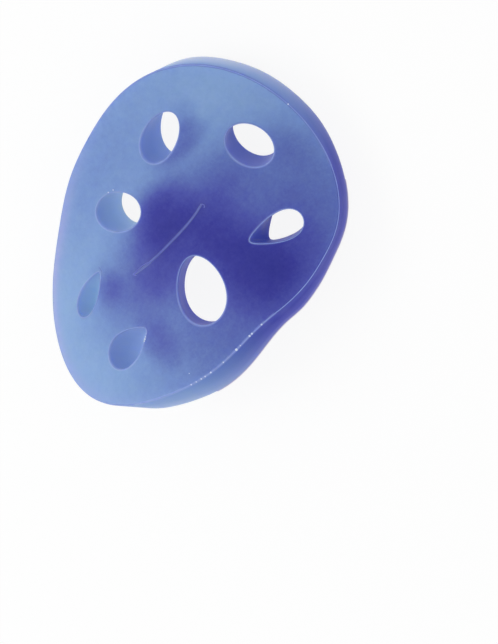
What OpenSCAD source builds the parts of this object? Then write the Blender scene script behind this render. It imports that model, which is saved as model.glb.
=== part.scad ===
// Elastic finger and hand exercise disc: one moulded gel disc with seven finger holes
// round a centre hole, held flexed, so that the disc is twisted and its centre hole is
// pinched to a slit. Lengths are millimetres. "Along" is the long way of the flexed disc,
// "across" is square to it, and "depth" runs from the front face into the gel.

/* [Disc] */
// Thickness of the gel from the front face to the back face
thickness = 18; // [12:0.5:24]
// Mean radius of the outline as it is stretched here
mean_radius = 67; // [64:0.5:80]
// Rounding of every edge where a face turns into a wall
edge_round = 0.8; // [0.3:0.1:1.4]

/* [Outline of the stretched disc] */
// Shift of the outline along and across
outline_shift = [3.9, 0.3]; // [-5:0.1:5]
// How much longer than wide the stretch makes it, as a change of radius
outline_stretch = 13.4; // [0:0.1:18]
// How much blunter one end is than the other
outline_blunt = 2.7; // [0:0.1:6]
// Flattening of the two long sides
outline_flat = 0.6; // [0:0.1:3]
// Uneven pull of the fingers round the edge, along and across
outline_pull = [-1.3, 0.8]; // [-3:0.1:3]
// Small waves between the fingers
outline_ripple = 0.4; // [0:0.1:1.5]
// How much wider the back edge is than the front edge: all round, along, across
back_rim = [-0.5, 0.8, -1]; // [-2:0.1:2]

/* [Flex out of plane] */
// Length over which the twist lifts one side by its own width
twist_length = 215; // [120:5:600]
// Radius of the bow along the disc
bow_radius = 440; // [250:10:2000]
// Curl of the ends, the sides and the long edges, in mm at the disc's mean radius
edge_curl = [4.5, 2.5, 3.3]; // [0:0.1:6]
// Lean of the twisted disc as it lies on its low corners, about X and about Y, degrees
rest_lean = [-4.7, 2.4]; // [-10:0.1:10]

/* [Finger holes] */
// Hole 1: centre along, centre across, half length, half width
hole_1 = [33.9, 30.1, 12.5, 7.2]; // [-80:0.1:80]
// Hole 1: turn of its long axis in degrees, taper
pull_1 = [6, -0.07]; // [-180:0.01:180]
// Hole 1: shift of its back edge along and across, its added length, width and turn
back_1 = [1, 0.3, 0, 1, 16]; // [-30:0.1:30]
// Hole 2: centre along, centre across, half length, half width
hole_2 = [-6.6, 26.4, 11.4, 8.2]; // [-80:0.1:80]
// Hole 2: turn of its long axis in degrees, taper
pull_2 = [146, -0.02]; // [-180:0.01:180]
// Hole 2: shift of its back edge along and across, its added length, width and turn
back_2 = [-0.6, 0.3, 0, 0.3, 0]; // [-30:0.1:30]
// Hole 3: centre along, centre across, half length, half width
hole_3 = [-46.5, 16.5, 11.4, 4.5]; // [-80:0.1:80]
// Hole 3: turn of its long axis in degrees, taper
pull_3 = [9, -0.17]; // [-180:0.01:180]
// Hole 3: shift of its back edge along and across, its added length, width and turn
back_3 = [0, 0, 0, 0, 0]; // [-30:0.1:30]
// Hole 4: centre along, centre across, half length, half width
hole_4 = [-48, -12.3, 11.8, 6.9]; // [-80:0.1:80]
// Hole 4: turn of its long axis in degrees, taper
pull_4 = [-15, -0.16]; // [-180:0.01:180]
// Hole 4: shift of its back edge along and across, its added length, width and turn
back_4 = [0.4, -3.7, 0, -0.2, 4]; // [-30:0.1:30]
// Hole 5: centre along, centre across, half length, half width
hole_5 = [-5.4, -22.9, 14.4, 10.9]; // [-80:0.1:80]
// Hole 5: turn of its long axis in degrees, taper
pull_5 = [56, -0.13]; // [-180:0.01:180]
// Hole 5: shift of its back edge along and across, its added length, width and turn
back_5 = [-3, 3.5, -1, 2.5, -10]; // [-30:0.1:30]
// Hole 6: centre along, centre across, half length, half width
hole_6 = [36, -31.2, 12, 5.5]; // [-80:0.1:80]
// Hole 6: turn of its long axis in degrees, taper
pull_6 = [155, -0.47]; // [-180:0.01:180]
// Hole 6: shift of its back edge along and across, its added length, width and turn
back_6 = [1, 1, -1.5, 0.8, 20]; // [-30:0.1:30]
// Hole 7: centre along, centre across, half length, half width
hole_7 = [56.8, -1.1, 10.4, 8.5]; // [-80:0.1:80]
// Hole 7: turn of its long axis in degrees, taper
pull_7 = [98, 0]; // [-180:0.01:180]
// Hole 7: shift of its back edge along and across, its added length, width and turn
back_7 = [0, 1.6, 0.4, -0.2, 0]; // [-30:0.1:30]

/* [Centre hole, pinched to a slit] */
// Centre of the slit, along and across
slit_centre = [0.2, 2.1]; // [-20:0.1:20]
// Length of the slit
slit_length = 46; // [20:0.5:56]
// Width of the gap that is left
slit_gap = 1; // [0.4:0.1:6]
// Turn of the slit in degrees
slit_turn = -7; // [-20:1:20]
// Sideways bow of the slit
slit_bow = 1.4; // [-3:0.1:3]

/* [Hidden] */

HOLES = [hole_1, hole_2, hole_3, hole_4, hole_5, hole_6, hole_7];
PULLS = [pull_1, pull_2, pull_3, pull_4, pull_5, pull_6, pull_7];
BACKS = [back_1, back_2, back_3, back_4, back_5, back_6, back_7];

SECTORS = len(HOLES);

// Gel between the slit and the oval hub that the sectors start from, at its ends and sides
HUB_END = 8;
HUB_SIDE = 7;
HUB = [slit_length / 2 + HUB_END, slit_gap / 2 + HUB_SIDE];

// The sectors of the finger holes meet on straight seams. Each seam starts on the hub's
// oval and ends on the outline, at these angles. Sector i lies between seam i and the next.
SEAM_IN = [25, 68, 133, 178, 236, 294, 340];
SEAM_OUT = [20, 78, 141, 182, 224, 288, 336];

// Facets along the outline, a seam and the hub's oval, for one sector
RIM_STEPS = 16;
SEAM_STEPS = 7;
HUB_STEPS = 8;
SECTOR_STEPS = RIM_STEPS + 2 * SEAM_STEPS + HUB_STEPS;

// Rings of a cell, from its border (1) to the lip of its hole (0) on either face
FACE_RINGS = [1, 0.65, 0.3, 0];
// Depths of the wall's rings, as shares of the thickness between its rounded edges
WALL_RINGS = [0, 0.5, 1];

function wrap(a) = ((a % 360) + 360) % 360;
function turn(p, a) = [p.x * cos(a) - p.y * sin(a), p.x * sin(a) + p.y * cos(a)];
function mix(a, b, t) = a * (1 - t) + b * t;

// Outline of the stretched disc, pulled in by "inset". Like the edges of the finger holes,
// it changes from the front face (sink 0) to the back face (sink 1)
function outline_radius(a) = mean_radius
    + outline_shift.x * cos(a) + outline_shift.y * sin(a)
    + outline_stretch * cos(2 * a) - outline_blunt * cos(3 * a)
    + outline_flat * cos(4 * a) + outline_pull.x * cos(5 * a) + outline_pull.y * sin(5 * a)
    + outline_ripple * cos(6 * a);
function back_wider(a) = back_rim[0] + back_rim[1] * cos(a) + back_rim[2] * sin(a);
function outline(a, inset, sink) = let (b = wrap(a))
    (outline_radius(b) + sink * back_wider(b) - inset) * [cos(b), sin(b)];

// The front face: a twist, a bow along the disc and a curl of its edges towards the back
CURL = edge_curl / pow(mean_radius, 3);
function face_height(p) = p.x * p.y / twist_length - p.x * p.x / (2 * bow_radius)
    - CURL[0] * p.x * p.x * p.y - CURL[1] * p.x * p.y * p.y - CURL[2] * pow(p.y, 3);
function face_slope(p) = [
    p.y / twist_length - p.x / bow_radius - 2 * CURL[0] * p.x * p.y - CURL[1] * p.y * p.y,
    p.x / twist_length - CURL[0] * p.x * p.x - 2 * CURL[1] * p.x * p.y - 3 * CURL[2] * p.y * p.y
];
function face_normal(p) =
    let (slope = face_slope(p), n = [-slope.x, -slope.y, 1]) n / norm(n);
function lean(p) =
    let (q = [p.x, turn([p.y, p.z], rest_lean.x).x, turn([p.y, p.z], rest_lean.x).y],
        r = turn([q.z, q.x], rest_lean.y))
    [r.y, q.y, r.x];
function gel(p, depth) = lean([p.x, p.y, face_height(p)] - face_normal(p) * depth);

// Seams and arcs that bound the cells
function hub(a) = let (b = wrap(a))
    slit_centre + turn([HUB.x * cos(b), HUB.y * sin(b)], slit_turn);
function seam_angle(list, i) = list[i % SECTORS] + 360 * floor(i / SECTORS);
function seam(i, t, sink) = mix(
    hub(seam_angle(SEAM_IN, i)),
    outline(seam_angle(SEAM_OUT, i), edge_round, sink),
    t
);
function hub_arc(i, t) = hub(mix(seam_angle(SEAM_IN, i), seam_angle(SEAM_IN, i + 1), t));
function rim_arc(i, t, inset, sink) =
    outline(mix(seam_angle(SEAM_OUT, i), seam_angle(SEAM_OUT, i + 1), t), inset, sink);

function sector_border(i, sink) = [
    for (k = [0 : RIM_STEPS - 1]) rim_arc(i, k / RIM_STEPS, edge_round, sink),
    for (k = [0 : SEAM_STEPS - 1]) seam(i + 1, 1 - k / SEAM_STEPS, sink),
    for (k = [0 : HUB_STEPS - 1]) hub_arc(i, 1 - k / HUB_STEPS),
    for (k = [0 : SEAM_STEPS - 1]) seam(i, k / SEAM_STEPS, sink)
];
function hub_border() = [
    for (i = [0 : SECTORS - 1]) for (k = [0 : HUB_STEPS - 1]) hub_arc(i, k / HUB_STEPS)
];

// A stretched hole: an oval that may narrow towards one end, grown outwards by "out"
function oval(size, taper, a, out) =
    let (p = [size.x * cos(a), size.y * sin(a) * (1 + taper * cos(a))],
        run = [-size.x * sin(a), size.y * (cos(a) + taper * cos(2 * a))])
    p + out * [run.y, -run.x] / norm(run);
// Edge of finger hole i, or of the slit, on the side that faces point p of its cell's border
function finger_edge(i, p, out, sink) =
    let (hole = HOLES[i], pull = PULLS[i], change = sink * BACKS[i],
        centre = [hole[0], hole[1]], d = p - centre,
        size = [hole[2] + change[2], hole[3] + change[3]])
    centre + [change[0], change[1]]
    + turn(oval(size, pull[1], atan2(d.y, d.x) - pull[0], out), pull[0] + change[4]);
function slit_edge(p, out) =
    let (d = turn(p - slit_centre, -slit_turn),
        q = oval([slit_length / 2, slit_gap / 2], 0, atan2(d.y / HUB.y, d.x / HUB.x), out),
        bow = slit_bow * (pow(2 * q.x / slit_length, 2) - 1))
    slit_centre + turn(q + [0, bow], slit_turn);

// One cell of gel as rings of points: in over the front face from the cell's border to the
// rounded lip of its hole, down the hole's wall, and out again over the back face. Borders
// and lips come in pairs, for the front and the back, and walls as one edge for each ring
function cell(borders, lips, walls) = let (last = len(borders[0]) - 1) [
    for (t = FACE_RINGS) for (k = [0 : last]) gel(mix(lips[0][k], borders[0][k], t), 0),
    for (r = [0 : len(WALL_RINGS) - 1]) for (k = [0 : last])
        gel(walls[r][k], mix(edge_round, thickness - edge_round, WALL_RINGS[r])),
    for (r = [len(FACE_RINGS) - 1 : -1 : 0]) for (k = [0 : last])
        gel(mix(lips[1][k], borders[1][k], FACE_RINGS[r]), thickness)
];
CELL_RINGS = 2 * len(FACE_RINGS) + len(WALL_RINGS);

function rim_ring(inset, depth, sink) = [
    for (i = [0 : SECTORS - 1]) for (k = [0 : RIM_STEPS - 1])
        gel(rim_arc(i, k / RIM_STEPS, inset, sink), depth)
];
RIM_RINGS = 4;
function rim() = concat(
    rim_ring(edge_round, thickness, 1),
    rim_ring(0, thickness - edge_round, 1),
    rim_ring(0, edge_round, 0),
    rim_ring(edge_round, 0, 0)
);

// Triangles between neighbouring rings of "count" points each
function strip(first, rings, count) = [
    for (r = [0 : rings - 2]) for (k = [0 : count - 1])
        let (a = first + r * count + k,
            b = first + r * count + (k + 1) % count)
        each [[a, a + count, b], [b, a + count, b + count]]
];

SECTOR_CELLS = [
    for (i = [0 : SECTORS - 1])
        let (front = sector_border(i, 0))
        cell(
            [front, sector_border(i, 1)],
            [for (sink = [0, 1]) [for (p = front) finger_edge(i, p, edge_round, sink)]],
            [for (sink = WALL_RINGS) [for (p = front) finger_edge(i, p, 0, sink)]]
        )
];
HUB_CELL = let (
    border = hub_border(),
    lip = [for (p = border) slit_edge(p, edge_round)],
    edge = [for (p = border) slit_edge(p, 0)]
) cell([border, border], [lip, lip], [for (ring = WALL_RINGS) edge]);
FLEXED = concat([for (points = SECTOR_CELLS) each points], HUB_CELL, rim());
SECTOR_POINTS = SECTOR_STEPS * CELL_RINGS;
HUB_FIRST = SECTORS * SECTOR_POINTS;
RIM_FIRST = HUB_FIRST + SECTORS * HUB_STEPS * CELL_RINGS;
FACETS = concat(
    [for (i = [0 : SECTORS - 1]) each strip(i * SECTOR_POINTS, CELL_RINGS, SECTOR_STEPS)],
    strip(HUB_FIRST, CELL_RINGS, SECTORS * HUB_STEPS),
    strip(RIM_FIRST, RIM_RINGS, SECTORS * RIM_STEPS)
);

// The disc stands on the lowest points of its back, over the middle of its footprint
LOW = [for (axis = [0 : 2]) min([for (p = FLEXED) p[axis]])];
HIGH = [for (axis = [0 : 2]) max([for (p = FLEXED) p[axis]])];
SEAT = [-(LOW.x + HIGH.x) / 2, -(LOW.y + HIGH.y) / 2, -LOW.z];

module exercise_disc() {
    color([0.38, 0.45, 0.80])
        translate(SEAT)
            polyhedron(points = FLEXED, faces = FACETS, convexity = 8);
}

exercise_disc();
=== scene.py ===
# %% [markdown]
# # A gel hand exercise disc
# The object is one moulded disc of soft, frosted gel with seven finger holes and a centre
# hole. Here fingers have pulled it out of shape: it is twisted, its outline is stretched to
# an egg, and the centre hole is pinched to a slit. The solid model of it holds the true
# sizes. This script gives it its looks: a finer skin, the gel's colour and frost with painted
# light and shade in them, and the traces that the mould leaves along its edges, partly
# painted pale as highlights.

import math

import bmesh
import bpy
import numpy as np
from mathutils import Matrix, Vector


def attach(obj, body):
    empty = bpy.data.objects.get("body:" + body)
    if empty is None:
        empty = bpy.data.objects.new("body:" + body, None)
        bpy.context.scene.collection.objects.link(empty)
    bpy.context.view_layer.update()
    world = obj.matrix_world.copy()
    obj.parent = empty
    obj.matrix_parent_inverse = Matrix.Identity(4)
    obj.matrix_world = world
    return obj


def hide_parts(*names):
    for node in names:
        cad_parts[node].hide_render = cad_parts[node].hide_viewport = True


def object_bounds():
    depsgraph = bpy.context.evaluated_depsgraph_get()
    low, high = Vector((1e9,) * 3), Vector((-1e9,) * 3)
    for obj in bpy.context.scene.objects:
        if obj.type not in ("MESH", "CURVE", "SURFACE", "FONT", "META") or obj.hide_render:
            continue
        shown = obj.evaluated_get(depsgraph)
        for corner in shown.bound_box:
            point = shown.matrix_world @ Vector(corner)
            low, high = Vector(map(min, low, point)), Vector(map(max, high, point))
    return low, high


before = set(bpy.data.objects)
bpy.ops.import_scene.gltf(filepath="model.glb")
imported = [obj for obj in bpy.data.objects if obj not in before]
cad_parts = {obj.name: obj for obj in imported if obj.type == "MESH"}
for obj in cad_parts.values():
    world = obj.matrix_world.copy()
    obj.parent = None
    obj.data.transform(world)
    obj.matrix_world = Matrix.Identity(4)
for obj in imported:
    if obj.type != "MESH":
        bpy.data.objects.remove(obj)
cad_box = [list(map(float, corner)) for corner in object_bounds()]
print("solid model's box, m:", [[round(v, 4) for v in corner] for corner in cad_box])

# %% [markdown]
# ## The sizes of the flexed disc
# The disc's shape follows a handful of sizes: the mean radius and a few gentle waves of its
# outline, a twist and a bow of its front face, and one oval for each hole. They could be
# read from the solid's triangles, but a finer surface needs the rule itself, so the rule is
# written again here, in millimetres on a flat plan, with a few edges nudged by up to 1.5 mm.

# %% The disc's sizes, in millimetres
MM = 0.001
THICKNESS = 18.0
MEAN_RADIUS = 67.0
EDGE_ROUND = 0.8
TWIST_LENGTH = 215.0
BOW_RADIUS = 440.0
EDGE_CURL = np.array([4.5, 2.5, 3.3]) / MEAN_RADIUS**3
REST_LEAN = (math.radians(-4.7), math.radians(2.4))

# Outline: (waves round the edge, cosine part, sine part)
OUTLINE = ((1, 3.9, 0.3), (2, 13.4, 0.0), (3, -2.7, 0.0), (4, 0.6, 0.0), (5, -1.3, 0.8), (6, 0.4, 0.0))
# How far the back edge lies from the front edge: all round, cosine part, sine part
BACK_RIM = (-0.5, 0.8, -1.0)
# Where fingers press or pull the edge: angle, width, nudge of the front edge and of the back edge
NUDGES = ((-54, 9, -1.0, -1.4), (-110, 26, 0.0, 1.5), (-74, 7, 0.3, 0.8), (-12, 10, 0.0, 0.7),
          (20, 10, 0.0, -0.7))

# %% The holes' sizes, in millimetres
# Finger holes: centre along and across, half length, half width, turn in degrees, taper
HOLES = (
    (33.9, 30.1, 12.5, 7.2, 6, -0.07),
    (-6.6, 26.4, 11.4, 8.2, 146, -0.02),
    (-46.5, 16.5, 11.4, 4.5, 9, -0.17),
    (-48.0, -12.3, 11.8, 6.9, -9, -0.16),
    (-5.4, -22.9, 14.4, 10.9, 56, -0.13),
    (36.0, -31.2, 12.0, 5.5, 155, -0.47),
    (56.8, -1.1, 10.4, 8.5, 98, 0.0),
)
# What their back edges differ by: shift along and across, longer, wider, turned further
BACKS = (
    (1.0, 0.3, 0.0, 1.0, 16.0),
    (-0.6, 0.3, 0.0, 0.3, 0.0),
    (0.0, 0.0, 0.0, 0.0, 0.0),
    (0.4, -3.7, 0.0, -0.2, 4.0),
    (-3.0, 3.5, -1.0, 2.5, -10.0),
    (1.0, 1.0, -1.5, 0.8, 20.0),
    (0.0, 1.6, 0.4, -0.2, 0.0),
)
# How far the gel pinches each hole to a point at one end
POINTED = (0.0, 0.0, 0.5, 0.45, 0.0, 0.0, 0.0)

# The pinched slit, wider in the eyes at its ends, and the hub of gel round it
SLIT_CENTRE = np.array([0.2, 2.1])
SLIT_HALF = 23.0
SLIT_GAP = 0.3
SLIT_EYE = 2.0
SLIT_ROUND = 0.45
SLIT_TURN = -7.0
SLIT_BOW = 2.0
HUB = (SLIT_HALF + 8.0, 7.5)
# Where the seams between the holes' sectors meet the hub and the outline, in degrees
SEAM_IN = (25, 68, 133, 178, 236, 294, 340)
SEAM_OUT = (20, 78, 141, 182, 224, 288, 336)
print("holes:", len(HOLES), "and a slit", 2 * SLIT_HALF, "mm long")

# %% The front face, its slope and the place of any point in the gel


def face_height(p):
    u, v = p[..., 0], p[..., 1]
    curl = EDGE_CURL[0] * u * u * v + EDGE_CURL[1] * u * v * v + EDGE_CURL[2] * v**3
    return u * v / TWIST_LENGTH - u * u / (2 * BOW_RADIUS) - curl


def face_normal(p):
    u, v = p[..., 0], p[..., 1]
    along = v / TWIST_LENGTH - u / BOW_RADIUS - 2 * EDGE_CURL[0] * u * v - EDGE_CURL[1] * v * v
    across = u / TWIST_LENGTH - EDGE_CURL[0] * u * u - 2 * EDGE_CURL[1] * u * v \
        - 3 * EDGE_CURL[2] * v * v
    n = np.stack([-along, -across, np.ones_like(u)], -1)
    return n / np.linalg.norm(n, axis=-1, keepdims=True)


LEAN = np.array(Matrix.Rotation(REST_LEAN[1], 3, "Y") @ Matrix.Rotation(REST_LEAN[0], 3, "X"))


def gel(p, depth):
    """Where a point of the flat plan lies at a depth under the front face, unseated."""
    p = np.asarray(p, float)
    depth = np.broadcast_to(np.asarray(depth, float), p.shape[:-1])
    surface = np.concatenate([p, face_height(p)[..., None]], -1)
    return (surface - face_normal(p) * depth[..., None]) @ LEAN.T


print("height of the front face at its ends:", face_height(np.array([[80, 0], [-80, 0]])).round(1))

# %% The outline and the hub in the flat plan


def turn(p, degrees):
    a = math.radians(degrees)
    return np.asarray(p) @ np.array([[math.cos(a), math.sin(a)], [-math.sin(a), math.cos(a)]])


def near_angle(degrees, place, width):
    """1 at one angle round the disc, fading to 0 over a width on both sides."""
    away = (np.asarray(degrees) - place + 180) % 360 - 180
    return np.exp(-(away / width) ** 2)


def outline(degrees, inset=0.0, sink=0.0):
    """The disc's edge at a share of the way from the front (0) to the back (1)."""
    a = np.radians(degrees)
    r = MEAN_RADIUS + sum(c * np.cos(k * a) + s * np.sin(k * a) for k, c, s in OUTLINE) - inset
    r = r + sink * (BACK_RIM[0] + BACK_RIM[1] * np.cos(a) + BACK_RIM[2] * np.sin(a))
    for place, width, front, back in NUDGES:
        r = r + (front + sink * (back - front)) * near_angle(degrees, place, width)
    return np.stack([r * np.cos(a), r * np.sin(a)], -1)


def hub(degrees):
    a = np.radians(degrees)
    return SLIT_CENTRE + turn(np.stack([HUB[0] * np.cos(a), HUB[1] * np.sin(a)], -1), SLIT_TURN)


ends = np.linalg.norm(outline([0, 90, 180, 270]), axis=-1)
print("outline at 0, 90, 180, 270 degrees:", ends.round(1))

# %% The edges of the holes in the flat plan


def oval(half_length, half_width, taper, a, out=0.0, eye=0.0, point=0.0):
    """An oval that may narrow or come to a point at one end, or widen to eyes at both."""
    def edge(a):
        width = half_width * (1 + taper * np.cos(a)) * (1 + eye * np.cos(a) ** 8)
        width = width * (1 - point * ((1 + np.cos(a)) / 2) ** 3)
        return np.stack([half_length * np.cos(a), width * np.sin(a)], -1)
    # The way out is square to the run of the edge between two points close by
    run = edge(a + 0.01) - edge(a - 0.01)
    side = np.stack([run[..., 1], -run[..., 0]], -1) / np.linalg.norm(run, axis=-1, keepdims=True)
    return edge(a) + side * out


def finger_edge(i, border, out, sink):
    """The edge of a finger hole at a share of the way from front to back."""
    u, v, half_length, half_width, turned, taper = HOLES[i]
    shift_u, shift_v, longer, wider, further = (sink * c for c in BACKS[i])
    a = np.arctan2(border[:, 1] - v, border[:, 0] - u) - math.radians(turned)
    q = oval(half_length + longer, half_width + wider, taper, a, out, 0.0, POINTED[i])
    return np.array([u + shift_u, v + shift_v]) + turn(q, turned + further)


def slit_bend(along):
    return SLIT_BOW * (np.abs(along / SLIT_HALF) ** 3 - 1)


def slit_edge(border, out):
    d = turn(border - SLIT_CENTRE, -SLIT_TURN)
    a = np.arctan2(d[:, 1] / HUB[1], d[:, 0] / HUB[0])
    q = oval(SLIT_HALF, SLIT_GAP / 2, 0, a, out, SLIT_EYE)
    q[:, 1] += slit_bend(q[:, 0])
    return SLIT_CENTRE + turn(q, SLIT_TURN)


print("the slit bends by", abs(slit_bend(0.0)), "mm at its middle")

# %% [markdown]
# ## The skin of the disc
# A moulded disc like this could be cut with booleans, but those leave ragged triangles where
# the light shows them. Here the skin is laid out in rings instead. Seven sectors and a hub
# share their seams. In each cell the rings run in over the front face, round the hole's
# lip, down its wall, and out again over the back, so that every quad is clean and the lips
# can be rounded. Each point also remembers what it is: how deep it lies, and whether it is
# on a lip, a wall or the rim. The gel's colours use that later.

# %% Steps of the finer skin
RIM_STEPS = 46
SEAM_STEPS = 18
HUB_STEPS = 24
FACE_SHARES = (1, 0.985, 0.9, 0.78, 0.66, 0.54, 0.43, 0.33, 0.24, 0.16, 0.09, 0.04, 0.015, 0)
WALL_SHARES = (0, 0.04, 0.12, 0.24, 0.38, 0.52, 0.66, 0.8, 0.9, 0.96, 1)
LIP_TURNS = np.radians((18, 36, 54, 72))
SECTORS = len(HOLES)


def seam_angle(angles, i):
    return angles[i % SECTORS] + 360 * (i // SECTORS)


def spread(a, b, steps):
    return np.linspace(a, b, steps, endpoint=False)


def sector_border(i, sink):
    """The border of a sector, anticlockwise: outline, seam in, hub, seam out."""
    here, there = seam_angle(SEAM_OUT, i), seam_angle(SEAM_OUT, i + 1)
    hub_here, hub_there = seam_angle(SEAM_IN, i), seam_angle(SEAM_IN, i + 1)
    return np.concatenate([
        outline(spread(here, there, RIM_STEPS), EDGE_ROUND, sink),
        spread(outline(there, EDGE_ROUND, sink), hub(hub_there), SEAM_STEPS),
        hub(spread(hub_there, hub_here, HUB_STEPS)),
        spread(hub(hub_here), outline(here, EDGE_ROUND, sink), SEAM_STEPS)])


def hub_border():
    return np.concatenate([
        hub(spread(seam_angle(SEAM_IN, i), seam_angle(SEAM_IN, i + 1), HUB_STEPS))
        for i in range(SECTORS)])


print("points round a sector:", len(sector_border(0, 0)), "and round the hub:", len(hub_border()))

# %% Each cell as rings of (plan points, depth, lip mark, wall mark)
LIP_FRONT, LIP_BACK, LIP_BESIDE = 1.0, 0.5, 0.6
ON_WALL, ON_LIP, ON_FACE = 1.0, 0.5, 0.0


def cell_rings(border, edge, lip_round):
    """border(sink) and edge(out, sink) give the cell's outer and inner loops."""
    rings = []
    for t in FACE_SHARES:
        lip = edge(lip_round, 0.0)
        rings.append((lip + (border(0.0) - lip) * t, 0.0, 0.0 if t else LIP_BESIDE, ON_FACE))
    for a in LIP_TURNS:
        rings.append((edge(lip_round * (1 - math.sin(a)), 0.0), lip_round * (1 - math.cos(a)),
                      LIP_FRONT, ON_LIP))
    for t in WALL_SHARES:
        rings.append((edge(0.0, t), lip_round + t * (THICKNESS - 2 * lip_round),
                      0.0 if t else LIP_BESIDE, ON_WALL))
    for a in LIP_TURNS[::-1]:
        rings.append((edge(lip_round * (1 - math.sin(a)), 1.0),
                      THICKNESS - lip_round * (1 - math.cos(a)), LIP_BACK, ON_LIP))
    for t in FACE_SHARES[::-1]:
        lip = edge(lip_round, 1.0)
        rings.append((lip + (border(1.0) - lip) * t, THICKNESS, 0.0, ON_FACE))
    return rings


def rim_rings():
    angles = np.concatenate([
        spread(seam_angle(SEAM_OUT, i), seam_angle(SEAM_OUT, i + 1), RIM_STEPS)
        for i in range(SECTORS)])
    rings = [(outline(angles, EDGE_ROUND, 1.0), THICKNESS, 0.0, ON_FACE)]
    for a in LIP_TURNS:
        rings.append((outline(angles, EDGE_ROUND * (1 - math.sin(a)), 1.0),
                      THICKNESS - EDGE_ROUND * (1 - math.cos(a)), LIP_BACK, ON_LIP))
    for t in WALL_SHARES[::-1]:
        rings.append((outline(angles, 0.0, t), EDGE_ROUND + t * (THICKNESS - 2 * EDGE_ROUND),
                      0.0 if t else LIP_BESIDE, ON_WALL))
    for a in LIP_TURNS[::-1]:
        rings.append((outline(angles, EDGE_ROUND * (1 - math.sin(a)), 0.0),
                      EDGE_ROUND * (1 - math.cos(a)), LIP_FRONT, ON_LIP))
    rings.append((outline(angles, EDGE_ROUND, 0.0), 0.0, LIP_BESIDE, ON_FACE))
    return rings


def strip_faces(first, rings, count):
    k = np.arange(count)
    nxt = (k + 1) % count
    # This order of the corners turns the faces outwards
    return np.concatenate([
        np.stack([first + r * count + k, first + r * count + nxt,
                  first + (r + 1) * count + nxt, first + (r + 1) * count + k], -1)
        for r in range(rings - 1)])


# %% Put the cells and the rim together
bands = []
for i in range(SECTORS):
    front = sector_border(i, 0.0)
    bands.append(cell_rings(lambda sink, i=i: sector_border(i, sink),
                            lambda out, sink, i=i, b=front: finger_edge(i, b, out, sink), EDGE_ROUND))
middle = hub_border()
bands.append(cell_rings(lambda sink: middle, lambda out, sink: slit_edge(middle, out), SLIT_ROUND))
bands.append(rim_rings())

points, plan, marks, faces = [], [], [], []
count_so_far = 0
for rings in bands:
    size = len(rings[0][0])
    for p, depth, lip, wall in rings:
        rim = wall if rings is bands[-1] else 0.0
        points.append(gel(p, depth))
        plan.append(p)
        marks.append(np.tile([depth / THICKNESS, lip, wall, rim], (size, 1)))
    faces.append(strip_faces(count_so_far, len(rings), size))
    count_so_far += size * len(rings)
points, plan = np.concatenate(points), np.concatenate(plan)
marks, faces = np.concatenate(marks), np.concatenate(faces)
low, high = points.min(0), points.max(0)
SEAT = np.array([-(low[0] + high[0]) / 2, -(low[1] + high[1]) / 2, -low[2]])
points = (points + SEAT) * MM
print("points:", len(points), "quads:", len(faces), "box, mm:", ((high - low).round(1)).tolist())

# %% Helpers for meshes


def add_object(name, data):
    piece = bpy.data.objects.new(name, data)
    bpy.context.collection.objects.link(piece)
    return piece


def mesh_piece(name, verts, quads):
    mesh = bpy.data.meshes.new(name)
    mesh.from_pydata([tuple(map(float, v)) for v in verts], [], [tuple(map(int, q)) for q in quads])
    mesh.update()
    return add_object(name, mesh)


def point_values(mesh, name):
    values = np.empty(len(mesh.vertices))
    mesh.attributes[name].data.foreach_get("value", values)
    return values


def set_point_values(mesh, name, values):
    layer = mesh.attributes.new(name, "FLOAT", "POINT")
    layer.data.foreach_set("value", np.asarray(values, np.float32))


# %% Make it a mesh
disc = mesh_piece("gel_disc", points, faces)
for name, values in (("depth", marks[:, 0]), ("lip", marks[:, 1]), ("wall", marks[:, 2]),
                     ("rim", marks[:, 3]), ("plan_u", plan[:, 0]), ("plan_v", plan[:, 1])):
    set_point_values(disc.data, name, values)

bm = bmesh.new()
bm.from_mesh(disc.data)
bmesh.ops.remove_doubles(bm, verts=bm.verts, dist=1e-6)
open_edges = sum(1 for e in bm.edges if not e.is_manifold)
volume = bm.calc_volume(signed=True)
bm.to_mesh(disc.data)
bm.free()
disc.data.shade_smooth()
print("points after the seams are merged:", len(disc.data.vertices), "open edges:", open_edges,
      "volume, cm3:", round(volume * 1e6, 1))

# %% [markdown]
# ## The gel
# Real gel is a clear blue rubber full of fine bubbles, so light enters it, scatters and
# comes out again. It looks pale where light passes through it and deep violet-blue where
# something dark lies behind it. A full volume would be slow and noisy. Subsurface scattering
# on the Principled shader gives the soft look instead. The tone is one number for each point,
# from pale to deep, built from fine noise and from soft ovals of painted shade where something
# dark lay behind the gel, and one colour ramp turns it into the gel's blues. The walls, lips
# and rim carry painted light and shade as well.

# %% Helpers to wire nodes


def node(tree, kind, inputs=None, **settings):
    n = tree.nodes.new(kind)
    for key, value in settings.items():
        setattr(n, key, value)
    for key, value in (inputs or {}).items():
        if isinstance(value, bpy.types.NodeSocket):
            tree.links.new(value, n.inputs[key])
        else:
            n.inputs[key].default_value = value
    return n


def calc(tree, operation, a, b=0.0, clamp=False):
    return node(tree, "ShaderNodeMath", {0: a, 1: b}, operation=operation, use_clamp=clamp).outputs[0]


def attribute(tree, name):
    return node(tree, "ShaderNodeAttribute", attribute_name=name).outputs["Fac"]


def mix_colour(tree, share, a, b):
    return node(tree, "ShaderNodeMix", {0: share, 6: a, 7: b}, data_type="RGBA").outputs[2]


def srgb(r, g, b):
    """A colour as it is seen, 0 to 255, made linear for the shader."""
    c = [v / 255 for v in (r, g, b)]
    return tuple(v / 12.92 if v <= 0.04045 else ((v + 0.055) / 1.055) ** 2.4 for v in c) + (1.0,)


def ramp(tree, share, stops):
    n = node(tree, "ShaderNodeValToRGB", {0: share})
    while len(n.color_ramp.elements) < len(stops):
        n.color_ramp.elements.new(0.5)
    for element, (place, colour) in zip(n.color_ramp.elements, stops):
        element.position, element.color = place, srgb(*colour)
    return n.outputs[0]


def empty_material(name):
    material = bpy.data.materials.new(name)
    material.use_nodes = True
    material.node_tree.nodes.clear()
    return material, material.node_tree


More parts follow.
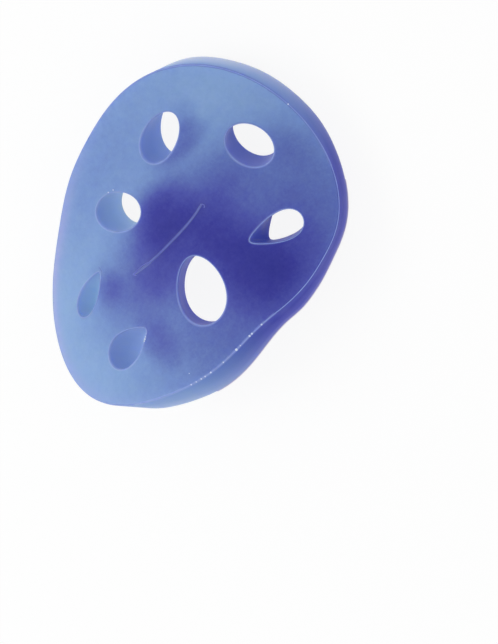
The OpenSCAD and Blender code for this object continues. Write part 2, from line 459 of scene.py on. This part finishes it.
def shader_group(name, inputs, outputs):
    """An empty shader group with named inputs and outputs, and its two end nodes."""
    group = bpy.data.node_groups.new(name, "ShaderNodeTree")
    for label, kind, default in inputs:
        socket = group.interface.new_socket(name=label, in_out="INPUT", socket_type=kind)
        if default is not None:
            socket.default_value = default
    for label, kind in outputs:
        group.interface.new_socket(name=label, in_out="OUTPUT", socket_type=kind)
    return group, group.nodes.new("NodeGroupInput").outputs, group.nodes.new("NodeGroupOutput").inputs


def use_group(tree, group, inputs):
    return node(tree, "ShaderNodeGroup", inputs, node_tree=group).outputs


# %% A soft oval on the flat plan, as a shader group
NUMBER = "NodeSocketFloat"
soft_oval, given, result = shader_group(
    "soft_oval",
    [(label, NUMBER, 0.0) for label in ("Plan Along", "Plan Across", "Centre Along", "Centre Across")]
    + [("Half Length", NUMBER, 10.0), ("Half Width", NUMBER, 10.0), ("Turn", NUMBER, 0.0),
       ("Softness", NUMBER, 0.5), ("Strength", NUMBER, 1.0)],
    [("Mask", NUMBER)])
g = soft_oval
away_u = calc(g, "SUBTRACT", given["Plan Along"], given["Centre Along"])
away_v = calc(g, "SUBTRACT", given["Plan Across"], given["Centre Across"])
angle = calc(g, "RADIANS", given["Turn"])
cosine, sine = calc(g, "COSINE", angle), calc(g, "SINE", angle)
along = calc(g, "ADD", calc(g, "MULTIPLY", away_u, cosine), calc(g, "MULTIPLY", away_v, sine))
across = calc(g, "SUBTRACT", calc(g, "MULTIPLY", away_v, cosine), calc(g, "MULTIPLY", away_u, sine))
along = calc(g, "POWER", calc(g, "DIVIDE", along, given["Half Length"]), 2.0)
across = calc(g, "POWER", calc(g, "DIVIDE", across, given["Half Width"]), 2.0)
reach = calc(g, "SQRT", calc(g, "ADD", along, across))
fade = node(g, "ShaderNodeMapRange", {"Value": reach, "From Min": calc(g, "ADD", 1.0, given["Softness"]),
                                      "From Max": calc(g, "SUBTRACT", 1.0, given["Softness"])},
            interpolation_type="SMOOTHSTEP")
g.links.new(calc(g, "MULTIPLY", fade.outputs[0], given["Strength"]), result["Mask"])
print("soft_oval has", len(g.nodes), "nodes")

# %% Frost: slow clouding and fine grain, as a shader group
frost, given, result = shader_group(
    "frost",
    [("Vector", "NodeSocketVector", None), ("Cloud Size", NUMBER, 0.008), ("Grain Size", NUMBER, 0.0006)],
    [("Cloud", NUMBER), ("Grain", NUMBER)])
g = frost
for label, detail, mark in (("Cloud Size", 3.0, "Cloud"), ("Grain Size", 2.0, "Grain")):
    noise = node(g, "ShaderNodeTexNoise", {"Vector": given["Vector"], "Detail": detail, "Roughness": 0.55,
                                           "Scale": calc(g, "DIVIDE", 1.0, given[label])})
    g.links.new(noise.outputs["Fac"], result[mark])
print("frost has", len(g.nodes), "nodes")


def frosting_of(tree, cloud_size, grain_size):
    place = node(tree, "ShaderNodeTexCoord").outputs["Object"]
    return use_group(tree, frost, {"Vector": place, "Cloud Size": cloud_size, "Grain Size": grain_size})


def around_zero(tree, noise, amount):
    return calc(tree, "MULTIPLY", calc(tree, "SUBTRACT", noise, 0.5), amount)


# %% The gel's tones over the face, with painted shade
# Soft ovals of painted shade, from something dark behind the gel and from the holes' walls seen through it:
# centre along and across, half length, half width, turn, softness, strength
PAINTED_SHADE = (
    (22, -36, 58, 38, 0, 0.9, 0.58),    # the broad shade round holes 5 and 6
    (-12, 2, 38, 15, -4, 0.8, 0.36),    # along the slit
    (17, -30, 13, 26, 0, 0.8, 0.28),    # between holes 5 and 6
    (6, 9, 14, 9, -6, 0.8, 0.32),       # beside the slit's middle
    (4, 42, 44, 20, 0, 0.9, 0.20),      # the edge beyond hole 2
    (37, 23, 14, 6, -14, 0.6, 0.31),    # beside hole 1
    (40, 2, 17, 12, -10, 0.9, 0.14),    # between the slit and hole 7
    (66, -12, 8, 10, 0, 0.8, 0.12),     # beside hole 7
    (49, 28, 6, 5, 0, 0.7, 0.13),       # at hole 1's end
    (12, 17, 16, 6, -6, 0.8, 0.18),     # between holes 1 and 2
    (-10, -4, 14, 10, 0, 0.8, 0.08),    # beside the slit, towards hole 5
    (33, -44, 12, 10, 0, 0.8, 0.14),    # beyond hole 6
    (-37, 11, 7, 7, 0, 0.8, 0.22),      # beside hole 3
    (-35, -22, 7, 10, 0, 0.8, 0.23),    # beside hole 4
)
GEL_BLUES = (
    (0.0, (140, 172, 216)), (0.2, (122, 152, 206)), (0.4, (101, 123, 190)),
    (0.6, (79, 88, 177)), (0.8, (55, 58, 160)), (1.0, (28, 33, 142)),
)
# A painted lilac sheen, a highlight along the edge of the face: angle, width, reach from the edge in mm
LILAC = (176, 178, 222)
LILAC_PLACE, LILAC_WIDTH, LILAC_REACH, LILAC_SHARE = 145, 45, 4, 0.7
print("soft ovals on the face:", len(PAINTED_SHADE))

# %% The tones of walls, lips and rim
# Colours by depth, from the front (0) to the back (1). The walls are painted paler than the
# gel to lift the shade inside the holes, the pale ramps and the rim's deep one grow paler
# towards the back as painted light from behind, and the rim's deep one is darkest in its
# front half, a painted shade.
WALL_PALE = ((0.0, (150, 178, 224)), (0.5, (164, 192, 230)), (1.0, (206, 226, 248)))
WALL_DEEP = ((0.0, (104, 116, 210)), (0.5, (110, 118, 214)), (1.0, (92, 98, 210)))
RIM_PALE = ((0.0, (134, 174, 228)), (0.5, (156, 192, 238)), (1.0, (190, 214, 244)))
RIM_DEEP = ((0.0, (40, 54, 176)), (0.4, (30, 42, 170)), (0.75, (66, 72, 186)), (1.0, (134, 138, 212)))
# Where the rim faces the brightest light, with a thin shade behind the front edge
RIM_SKY = ((0.0, (104, 130, 212)), (0.08, (112, 142, 216)), (0.16, (146, 182, 234)),
           (0.5, (190, 216, 248)), (1.0, (230, 239, 251)))
SKY_PLACE, SKY_WIDTH = 40, 35
# Painted shade on the rim round the edge: angle, width, how much deeper than its palest tone
RIM_SHADES = ((-30, 30, 0.68), (-80, 36, 0.72))
RIM_PALEST = 0.25
LIP_SHADED, LIP_LIT, LIP_SHARE = (58, 66, 140), (176, 194, 234), 0.36
# Each hole's wall: how deep its painted shade is, where something dark lay in or behind the hole, and how
# much light comes through it from behind, painted as a glow
HOLE_WALLS = ((0.42, 0.8), (0.18, 0.85), (0.0, 0.85), (0.3, 0.75), (0.95, 0.4), (0.92, 0.4), (0.78, 0.6))
# Each hole's lit side: its direction on the plan, how strongly it is lit, and the far side's share
LIT_SIDES = ((165, 1.0, 0.3), (145, 0.95, 0.3), (90, 0.95, 0.3), (215, 1.2, 0.3), (225, 1.05, 0.3),
             (105, 0.65, -0.2), (200, 0.9, 0.2))
SLIT_LIT = 0.4


def lit_share(hole, around):
    """How lit a point of a hole's edge is, by its direction from the hole's centre."""
    side, strength, far_share = np.array(LIT_SIDES)[hole].T
    towards = 0.5 + 0.5 * np.cos(around - np.radians(side))
    return np.clip(strength * (far_share + (1 - far_share) * towards), 0, None)


# %% Where each point lies: its hole, its direction from it, and its place round the disc
plan_u, plan_v = point_values(disc.data, "plan_u"), point_values(disc.data, "plan_v")
away_u, away_v = (np.stack([p - h[k] for h in HOLES], -1) for k, p in enumerate((plan_u, plan_v)))
nearest = np.hypot(away_u, away_v).argmin(-1)
rows = np.arange(len(nearest))
round_hole = np.arctan2(away_v[rows, nearest], away_u[rows, nearest])
round_disc = np.degrees(np.arctan2(plan_v, plan_u))
in_hub = turn(np.stack([plan_u, plan_v], -1) - SLIT_CENTRE, -SLIT_TURN)
at_slit = (np.abs(in_hub[:, 0]) < SLIT_HALF + 2) & (np.abs(in_hub[:, 1] - slit_bend(in_hub[:, 0])) < 2)
edge_gap = np.linalg.norm(outline(round_disc), axis=-1) - np.hypot(plan_u, plan_v)
rim_shade = RIM_PALEST + sum(k * near_angle(round_disc, place, width) for place, width, k in RIM_SHADES)

for name, values in (
        ("hole_wall_shade", np.array(HOLE_WALLS)[nearest, 0]),
        ("hole_glow", np.array(HOLE_WALLS)[nearest, 1]),
        ("lip_light", np.where(at_slit, SLIT_LIT, lit_share(nearest, round_hole))),
        ("painted_edge_sheen", near_angle(round_disc, LILAC_PLACE, LILAC_WIDTH)
            * np.exp(-(edge_gap / LILAC_REACH) ** 2)),
        ("rim_sky", near_angle(round_disc, SKY_PLACE, SKY_WIDTH)),
        ("rim_shade", np.clip(rim_shade, 0, 1))):
    set_point_values(disc.data, name, values)
print("rim tone from", rim_shade.min().round(2), "to", rim_shade.max().round(2))

# %% The gel's colour
gel_mat, t = empty_material("frosted_gel")
depth, lip, wall, rim = (attribute(t, name) for name in ("depth", "lip", "wall", "rim"))
hole_wall_shade = attribute(t, "hole_wall_shade")
frosting = frosting_of(t, 0.007, 0.0007)
mottling = frosting_of(t, 0.0022, 0.0010)
tone = around_zero(t, frosting["Cloud"], 0.12)
tone = calc(t, "ADD", tone, around_zero(t, mottling["Cloud"], 0.13))
tone = calc(t, "ADD", tone, around_zero(t, mottling["Grain"], 0.10))
on_plan = {"Plan Along": attribute(t, "plan_u"), "Plan Across": attribute(t, "plan_v")}
OVAL_INPUTS = ("Centre Along", "Centre Across", "Half Length", "Half Width", "Turn", "Softness", "Strength")
# Each soft oval adds painted shade to the tone
for sizes in PAINTED_SHADE:
    mask = use_group(t, soft_oval, {**on_plan, **dict(zip(OVAL_INPUTS, map(float, sizes)))})["Mask"]
    tone = calc(t, "ADD", tone, mask)
tone = calc(t, "ADD", tone, 0.0, clamp=True)

# The painted lilac sheen is mixed over the face's colour near its edge
sheen_share = calc(t, "MULTIPLY", attribute(t, "painted_edge_sheen"), LILAC_SHARE)
face_colour = mix_colour(t, sheen_share, ramp(t, tone, GEL_BLUES), srgb(*LILAC))
# Hole walls: a pale ramp mixed into a deep one by each hole's painted shade
wall_colour = mix_colour(t, hole_wall_shade, ramp(t, depth, WALL_PALE), ramp(t, depth, WALL_DEEP))
rim_pale = mix_colour(t, attribute(t, "rim_sky"), ramp(t, depth, RIM_PALE), ramp(t, depth, RIM_SKY))
# The rim's pale colour is mixed into its deep one by the painted shade round the edge
rim_colour = mix_colour(t, attribute(t, "rim_shade"), rim_pale, ramp(t, depth, RIM_DEEP))
lip_colour = mix_colour(t, attribute(t, "lip_light"), srgb(*LIP_SHADED), srgb(*LIP_LIT))
colour = mix_colour(t, wall, face_colour, wall_colour)
colour = mix_colour(t, rim, colour, rim_colour)
colour = mix_colour(t, calc(t, "MULTIPLY", lip, LIP_SHARE), colour, lip_colour)

# %% Painted light through the holes' walls, made as a glow, and the gel's shader
GLOW_AT_FRONT = 0.2
GLOW_PALE, GLOW_DEEP, DARK = (0.15, 0.23, 0.27, 1), (0.0, 0.01, 0.15, 1), (0, 0, 0, 1)
# The walls glow more towards the back: an emission that stands in for light from behind
inside = calc(t, "SUBTRACT", wall, rim)
by_depth = calc(t, "ADD", GLOW_AT_FRONT, calc(t, "MULTIPLY", depth, 1 - GLOW_AT_FRONT))
glow = calc(t, "MULTIPLY", by_depth, attribute(t, "hole_glow"))
glow = calc(t, "MULTIPLY", inside, glow, clamp=True)
glow_colour = mix_colour(t, glow, DARK, mix_colour(t, hole_wall_shade, GLOW_PALE, GLOW_DEEP))

shine = calc(t, "ADD", 0.40, calc(t, "MULTIPLY", frosting["Cloud"], 0.2))
grain = node(t, "ShaderNodeBump", {"Height": frosting["Grain"], "Strength": 0.15, "Distance": 0.0003})
shader = node(t, "ShaderNodeBsdfPrincipled", {
    "Base Color": colour, "Roughness": shine, "Normal": grain.outputs[0], "IOR": 1.42,
    "Specular IOR Level": 0.25, "Emission Color": glow_colour, "Emission Strength": 1.0,
    "Subsurface Weight": 1.0, "Subsurface Scale": 0.006, "Subsurface Radius": (0.35, 0.45, 1.0)})
node(t, "ShaderNodeOutputMaterial", {"Surface": shader.outputs[0]})
disc.data.materials.append(gel_mat)
print("the gel's material has", len(t.nodes), "nodes")

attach(disc, "root")
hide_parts("exercise_disc")

# %% [markdown]
# ## Traces of the mould, and painted highlights on the edges
# Where the two halves of the mould meet, a little gel is pressed out and stays as a thin,
# uneven thread along the edges, with small nibs of it. The thread is painted pale and swells
# on the lit side of each hole, so it is partly a painted highlight, and the nibs are painted
# near white as glints. A thread follows a path, so Geometry Nodes make it: the path is a
# chain of points on the gel, the tree turns it into a curve, lets noise swell it, and sweeps
# a small circle along it.

# %% Paths on the gel


def on_gel(plan_points, depth=0.0):
    return (gel(np.asarray(plan_points), depth) + SEAT) * MM


def path_mesh(name, paths):
    """Chains of points as loose edges, each point with a swell. paths: (points, swell, closed)."""
    verts, edges, swells = [], [], []
    for chain, swell, closed in paths:
        first, count = len(verts), len(chain)
        verts += [tuple(map(float, p)) for p in chain]
        swells += list(np.broadcast_to(swell, count))
        edges += [(first + k, first + k + 1) for k in range(count - 1)]
        if closed:
            edges.append((first + count - 1, first))
    mesh = bpy.data.meshes.new(name)
    mesh.from_pydata(verts, edges, [])
    set_point_values(mesh, "swell", swells)
    return add_object(name, mesh)


# %% Helpers for Geometry Nodes trees


def tree_with(name, inputs):
    tree = bpy.data.node_groups.new(name, "GeometryNodeTree")
    for label, kind in [("Geometry", "NodeSocketGeometry")] + inputs:
        tree.interface.new_socket(name=label, in_out="INPUT", socket_type=kind)
    tree.interface.new_socket(name="Geometry", in_out="OUTPUT", socket_type="NodeSocketGeometry")
    return tree, node(tree, "NodeGroupInput").outputs


def swell_of(tree):
    named = node(tree, "GeometryNodeInputNamedAttribute", {"Name": "swell"}, data_type="FLOAT")
    return named.outputs["Attribute"]


def finish_tree(tree, geometry, given):
    real = node(tree, "GeometryNodeRealizeInstances", {"Geometry": geometry})
    smooth = node(tree, "GeometryNodeSetShadeSmooth", {"Geometry": real.outputs[0]})
    coat = node(tree, "GeometryNodeSetMaterial",
                {"Geometry": smooth.outputs[0], "Material": given["Material"]})
    node(tree, "NodeGroupOutput", {"Geometry": coat.outputs[0]})
    print(tree.name, "has", len(tree.nodes), "nodes")


def grow(piece, tree, values):
    """Run a tree on a piece with its inputs set, and keep the result as a plain mesh."""
    modifier = piece.modifiers.new(tree.name, "NODES")
    modifier.node_group = tree
    for socket in tree.interface.items_tree:
        if socket.in_out == "INPUT" and socket.name in values:
            modifier[socket.identifier] = values[socket.name]
    result = bpy.data.meshes.new_from_object(piece.evaluated_get(bpy.context.evaluated_depsgraph_get()))
    piece.modifiers.clear()
    piece.data = result
    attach(piece, "root")
    print(piece.name, "has", len(result.polygons), "faces")


# %% The thread tree
edge_thread, given = tree_with("edge_thread", [
    ("Radius", NUMBER), ("Unevenness", NUMBER), ("Lump Size", NUMBER), ("Step", NUMBER),
    ("Material", "NodeSocketMaterial")])
g = edge_thread
curve = node(g, "GeometryNodeMeshToCurve", {"Mesh": given["Geometry"]}).outputs[0]
curve = node(g, "GeometryNodeResampleCurve", {"Curve": curve, "Length": given["Step"]},
             mode="LENGTH").outputs[0]
lumps = node(g, "ShaderNodeTexNoise", {"Vector": node(g, "GeometryNodeInputPosition").outputs[0],
                                       "Scale": calc(g, "DIVIDE", 1.0, given["Lump Size"]), "Detail": 2.0})
uneven = calc(g, "MULTIPLY", calc(g, "SUBTRACT", lumps.outputs["Fac"], 0.5), given["Unevenness"])
THINNEST = 0.05
factor = calc(g, "MULTIPLY", swell_of(g), calc(g, "ADD", 1.0, uneven))
factor = calc(g, "MAXIMUM", factor, THINNEST)
curve = node(g, "GeometryNodeSetCurveRadius", {"Curve": curve, "Radius": factor}).outputs[0]
ring = node(g, "GeometryNodeCurvePrimitiveCircle", {"Resolution": 6, "Radius": given["Radius"]}).outputs[0]
tube = node(g, "GeometryNodeCurveToMesh",
            {"Curve": curve, "Profile Curve": ring, "Fill Caps": True}).outputs[0]
finish_tree(g, tube, given)


def grow_thread(name, paths, radius, unevenness, lump_size, material):
    grow(path_mesh(name, paths), edge_thread,
         {"Radius": radius, "Unevenness": unevenness, "Lump Size": lump_size, "Step": 0.0006,
          "Material": material})


def flash_material(name, pale, deep, roughness):
    material, t = empty_material(name)
    frosting = frosting_of(t, 0.004, 0.0004)
    colour = mix_colour(t, frosting["Cloud"], srgb(*deep), srgb(*pale))
    shine = calc(t, "ADD", roughness, calc(t, "MULTIPLY", frosting["Grain"], 0.2))
    shader = node(t, "ShaderNodeBsdfPrincipled", {"Base Color": colour, "Roughness": shine, "IOR": 1.42})
    node(t, "ShaderNodeOutputMaterial", {"Surface": shader.outputs[0]})
    return material


# %% Flash along the front edges, also a painted highlight
HOLE_FLASH_OUT, HOLE_FLASH_DEPTH = 0.35, 0.22
RIM_FLASH_IN, RIM_FLASH_DEPTH = 0.3, 0.2
WELL_OUTSIDE = 30
around = np.radians(np.arange(0, 360, 4))
circle = np.stack([np.cos(around), np.sin(around)], -1) * WELL_OUTSIDE
paths = []
for i, hole in enumerate(HOLES):
    loop = finger_edge(i, circle + np.array(hole[:2]), HOLE_FLASH_OUT, 0.0)
    # The thread swells on each hole's lit side: a painted highlight along the lip
    lit = lit_share(i, np.arctan2(loop[:, 1] - hole[1], loop[:, 0] - hole[0])) ** 1.5
    paths.append((on_gel(loop, HOLE_FLASH_DEPTH), 0.08 + 1.1 * lit, True))
# Where the flash round the disc is thicker, partly as a painted highlight: angle, width, how much
RIM_FLASH = ((-50, 16, 1.0), (-100, 25, 0.45), (20, 40, 0.5), (140, 30, 0.4))
edge_angles = np.arange(0, 360, 1.0)
lit = 0.25 + sum(k * near_angle(edge_angles, place, width) for place, width, k in RIM_FLASH)
paths.append((on_gel(outline(edge_angles, RIM_FLASH_IN), RIM_FLASH_DEPTH), lit, True))
# A short streak at the tip of hole 3
STREAK = ((-33.4, 19.6), (-33.6, 18.4), (-34.2, 17.2))
paths.append((on_gel(STREAK), 1.8, False))
flash_and_highlight_pale = flash_material("flash_and_highlight_pale", (160, 184, 236), (112, 130, 206), 0.3)
grow_thread("edge_flash_and_highlight", paths, 0.00020, 1.8, 0.004, flash_and_highlight_pale)

# %% The pinched slit's line, with small curls at its ends
HOOK = 0.9
EYE_WIDTH = 0.9
along = np.linspace(-1.0, 1.0, 60) * SLIT_HALF
line = np.stack([along, slit_bend(along)], -1)
thicker_at_the_end = 0.55 + 0.5 * np.linspace(0, 1, len(line)) ** 3
curl = np.radians(np.linspace(90, -80, 10))
hook = line[-1] + HOOK * np.stack([np.cos(curl), np.sin(curl) - 1], -1)
back_along = np.linspace(-1.0, -0.5, 24) * SLIT_HALF
bulge = EYE_WIDTH * np.sin(np.linspace(0, math.pi, len(back_along)))
eye = np.stack([back_along, slit_bend(back_along) + bulge], -1)
tick = line[0] + np.array([[0.0, 0.0], [0.2, -0.7], [0.9, -1.3]])
paths = [(on_gel(SLIT_CENTRE + turn(chain, SLIT_TURN), sunk), swell, False)
         for chain, swell, sunk in ((line, thicker_at_the_end, 0.1), (hook, 1.0, 0.02),
                                    (eye, 0.6, 0.0), (tick, 0.8, 0.02))]
slit_pale = flash_material("slit_pale", (122, 134, 216), (88, 98, 194), 0.35)
grow_thread("slit_line", paths, 0.00024, 1.4, 0.005, slit_pale)

# %% Nibs painted white as glints: painted highlights on the edges
# Nibs on the disc's front edge: angle, radius
NIBS = ((-87, 0.40), (-93, 0.42), (-94.5, 0.46), (-100.5, 0.26), (-103, 0.56), (-111, 0.30), (-118, 0.38),
        (-121, 0.30), (-123, 0.33), (-125.5, 0.28), (-128, 0.34), (-2, 0.34))
# Nibs on a hole's edge: hole, a place that they lie towards, how far out, radius
EDGE_NIBS = ((3, -42.6, -18.6, 0.2, 0.46), (3, -43.3, -19.0, 0.2, 0.38), (3, -41.8, -18.0, 0.2, 0.34),
             (3, -40.8, -16.9, 0.2, 0.22), (1, -2.6, 34.4, 0.9, 0.32), (1, -1.0, 33.1, 1.3, 0.30))
# One nib on the face
FACE_NIB, FACE_NIB_RADIUS = (-33.8, -42.3), 0.2
nib_places = [on_gel(outline(np.array([a]), 0.25), 0.1) for a, r in NIBS]
nib_places += [on_gel(finger_edge(i, np.array([[u, v]]), out, 0.0), 0.1) for i, u, v, out, r in EDGE_NIBS]
nib_places.append(on_gel([FACE_NIB], 0.05))
nib_sizes = [r for *_, r in NIBS + EDGE_NIBS] + [FACE_NIB_RADIUS]

nib, given = tree_with("nibs", [("Roundness", "NodeSocketInt"), ("Material", "NodeSocketMaterial")])
ball = node(nib, "GeometryNodeMeshIcoSphere", {"Radius": MM, "Subdivisions": given["Roundness"]}).outputs[0]
balls = node(nib, "GeometryNodeInstanceOnPoints",
             {"Points": given["Geometry"], "Instance": ball, "Scale": swell_of(nib)}).outputs[0]
finish_tree(nib, balls, given)
# The nibs' near-white colour is a painted highlight
glint = flash_material("glint", (238, 246, 255), (206, 222, 252), 0.15)
grow(path_mesh("glint_nibs", [(place, r, False) for place, r in zip(nib_places, nib_sizes)]), nib,
     {"Roundness": 2, "Material": glint})

# %% Torn flash on the back edge
TORN_FROM, TORN_TO, TORN_FADE = -126, -30, 20
torn_angles = np.arange(TORN_FROM, TORN_TO, 0.6)
fade_ends = np.clip(np.minimum(torn_angles - TORN_FROM, TORN_TO - torn_angles) / TORN_FADE, THINNEST, 1)
torn_path = on_gel(outline(torn_angles, 0.15, 1.0), THICKNESS - 0.25)
flash_lilac = flash_material("flash_lilac", (226, 214, 238), (176, 176, 226), 0.35)
grow_thread("torn_flash", [(torn_path, fade_ends, False)], 0.00034, 3.0, 0.0016, flash_lilac)

# %% [markdown]
# ## Camera, floor and light
# The disc is looked at almost square to its front face, from far enough away that the view
# is nearly parallel, and the camera is rolled so that the disc leans. The floor and the world
# are as good as white. They light the gel from all sides, and one large soft lamp adds
# the gentle change of tone over the face.

# %% Camera
VIEW_AZIMUTH = math.radians(-18.2)
VIEW_ELEVATION = math.radians(59.6)
VIEW_ROLL = math.radians(-122.7)
DISTANCE = 6.0
SENSOR_MM = 36.0
IMAGE = (498, 644)
PIXELS_PER_MM = 2.403
ORIGIN_PIXEL = (169.5, 243.7)

back = Vector((math.cos(VIEW_ELEVATION) * math.cos(VIEW_AZIMUTH),
               math.cos(VIEW_ELEVATION) * math.sin(VIEW_AZIMUTH), math.sin(VIEW_ELEVATION)))
right = Vector((0, 0, 1)).cross(back).normalized()
up = back.cross(right)
cam_x = right * math.cos(VIEW_ROLL) + up * math.sin(VIEW_ROLL)
cam_y = back.cross(cam_x)
aim = Vector(SEAT * MM) - cam_x * (ORIGIN_PIXEL[0] - IMAGE[0] / 2) / PIXELS_PER_MM * MM \
    + cam_y * (ORIGIN_PIXEL[1] - IMAGE[1] / 2) / PIXELS_PER_MM * MM
cam_data = bpy.data.cameras.new("camera")
cam_data.sensor_fit = "AUTO"
cam_data.sensor_width = SENSOR_MM
cam_data.lens = SENSOR_MM * DISTANCE / (IMAGE[1] / PIXELS_PER_MM * MM)
cam_data.clip_start, cam_data.clip_end = 0.5, 40.0
camera = add_object("camera", cam_data)
rotation = Matrix((cam_x, cam_y, back)).transposed().to_4x4()
camera.matrix_world = Matrix.Translation(aim + back * DISTANCE) @ rotation
bpy.context.scene.camera = camera
print("lens, mm:", round(cam_data.lens, 1))

# %% Floor and world
FLOOR_HALF = 3
FLOOR_WHITE = 0.9
WORLD_LIGHT = 0.75
WHITE = (1, 1, 1, 1)


def seen_directly(tree):
    """1 for rays from the camera, a mirror or through glass, and 0 for the light itself."""
    path = node(tree, "ShaderNodeLightPath").outputs
    mirrored = calc(tree, "ADD", path["Is Glossy Ray"], path["Is Transmission Ray"])
    return calc(tree, "ADD", path["Is Camera Ray"], mirrored, clamp=True)


corners = [(x * FLOOR_HALF, y * FLOOR_HALF, 0) for x, y in ((-1, -1), (1, -1), (1, 1), (-1, 1))]
floor = mesh_piece("floor", corners, [(0, 1, 2, 3)])
floor_mat, t = empty_material("pale_floor")
diffuse = node(t, "ShaderNodeBsdfDiffuse", {"Color": (0.95, 0.95, 0.95, 1)})
white = node(t, "ShaderNodeEmission", {"Color": WHITE, "Strength": 1.0})
mixer = node(t, "ShaderNodeMixShader", {0: calc(t, "MULTIPLY", seen_directly(t), FLOOR_WHITE),
                                        1: diffuse.outputs[0], 2: white.outputs[0]})
node(t, "ShaderNodeOutputMaterial", {"Surface": mixer.outputs[0]})
floor.data.materials.append(floor_mat)

world = bpy.data.worlds.new("studio")
bpy.context.scene.world = world
world.use_nodes = True
t = world.node_tree
background = t.nodes["Background"].inputs
background["Color"].default_value = WHITE
strength = calc(t, "ADD", WORLD_LIGHT, calc(t, "MULTIPLY", seen_directly(t), 1 - WORLD_LIGHT))
t.links.new(strength, background["Strength"])
print("floor:", 2 * FLOOR_HALF, "m wide, world light:", WORLD_LIGHT)

# %% The soft lamp
LAMP_PLACE = Vector((-0.6, 0.9, 1.3))
lamp_data = bpy.data.lights.new("key", "AREA")
lamp_data.shape = "SQUARE"
lamp_data.size = 0.9
lamp_data.energy = 8
lamp = add_object("key", lamp_data)
lamp.location = LAMP_PLACE
lamp.rotation_euler = (-LAMP_PLACE).to_track_quat("-Z", "Y").to_euler()
bpy.context.scene.view_settings.view_transform = "Standard"
print("lamp:", lamp_data.energy, "W")
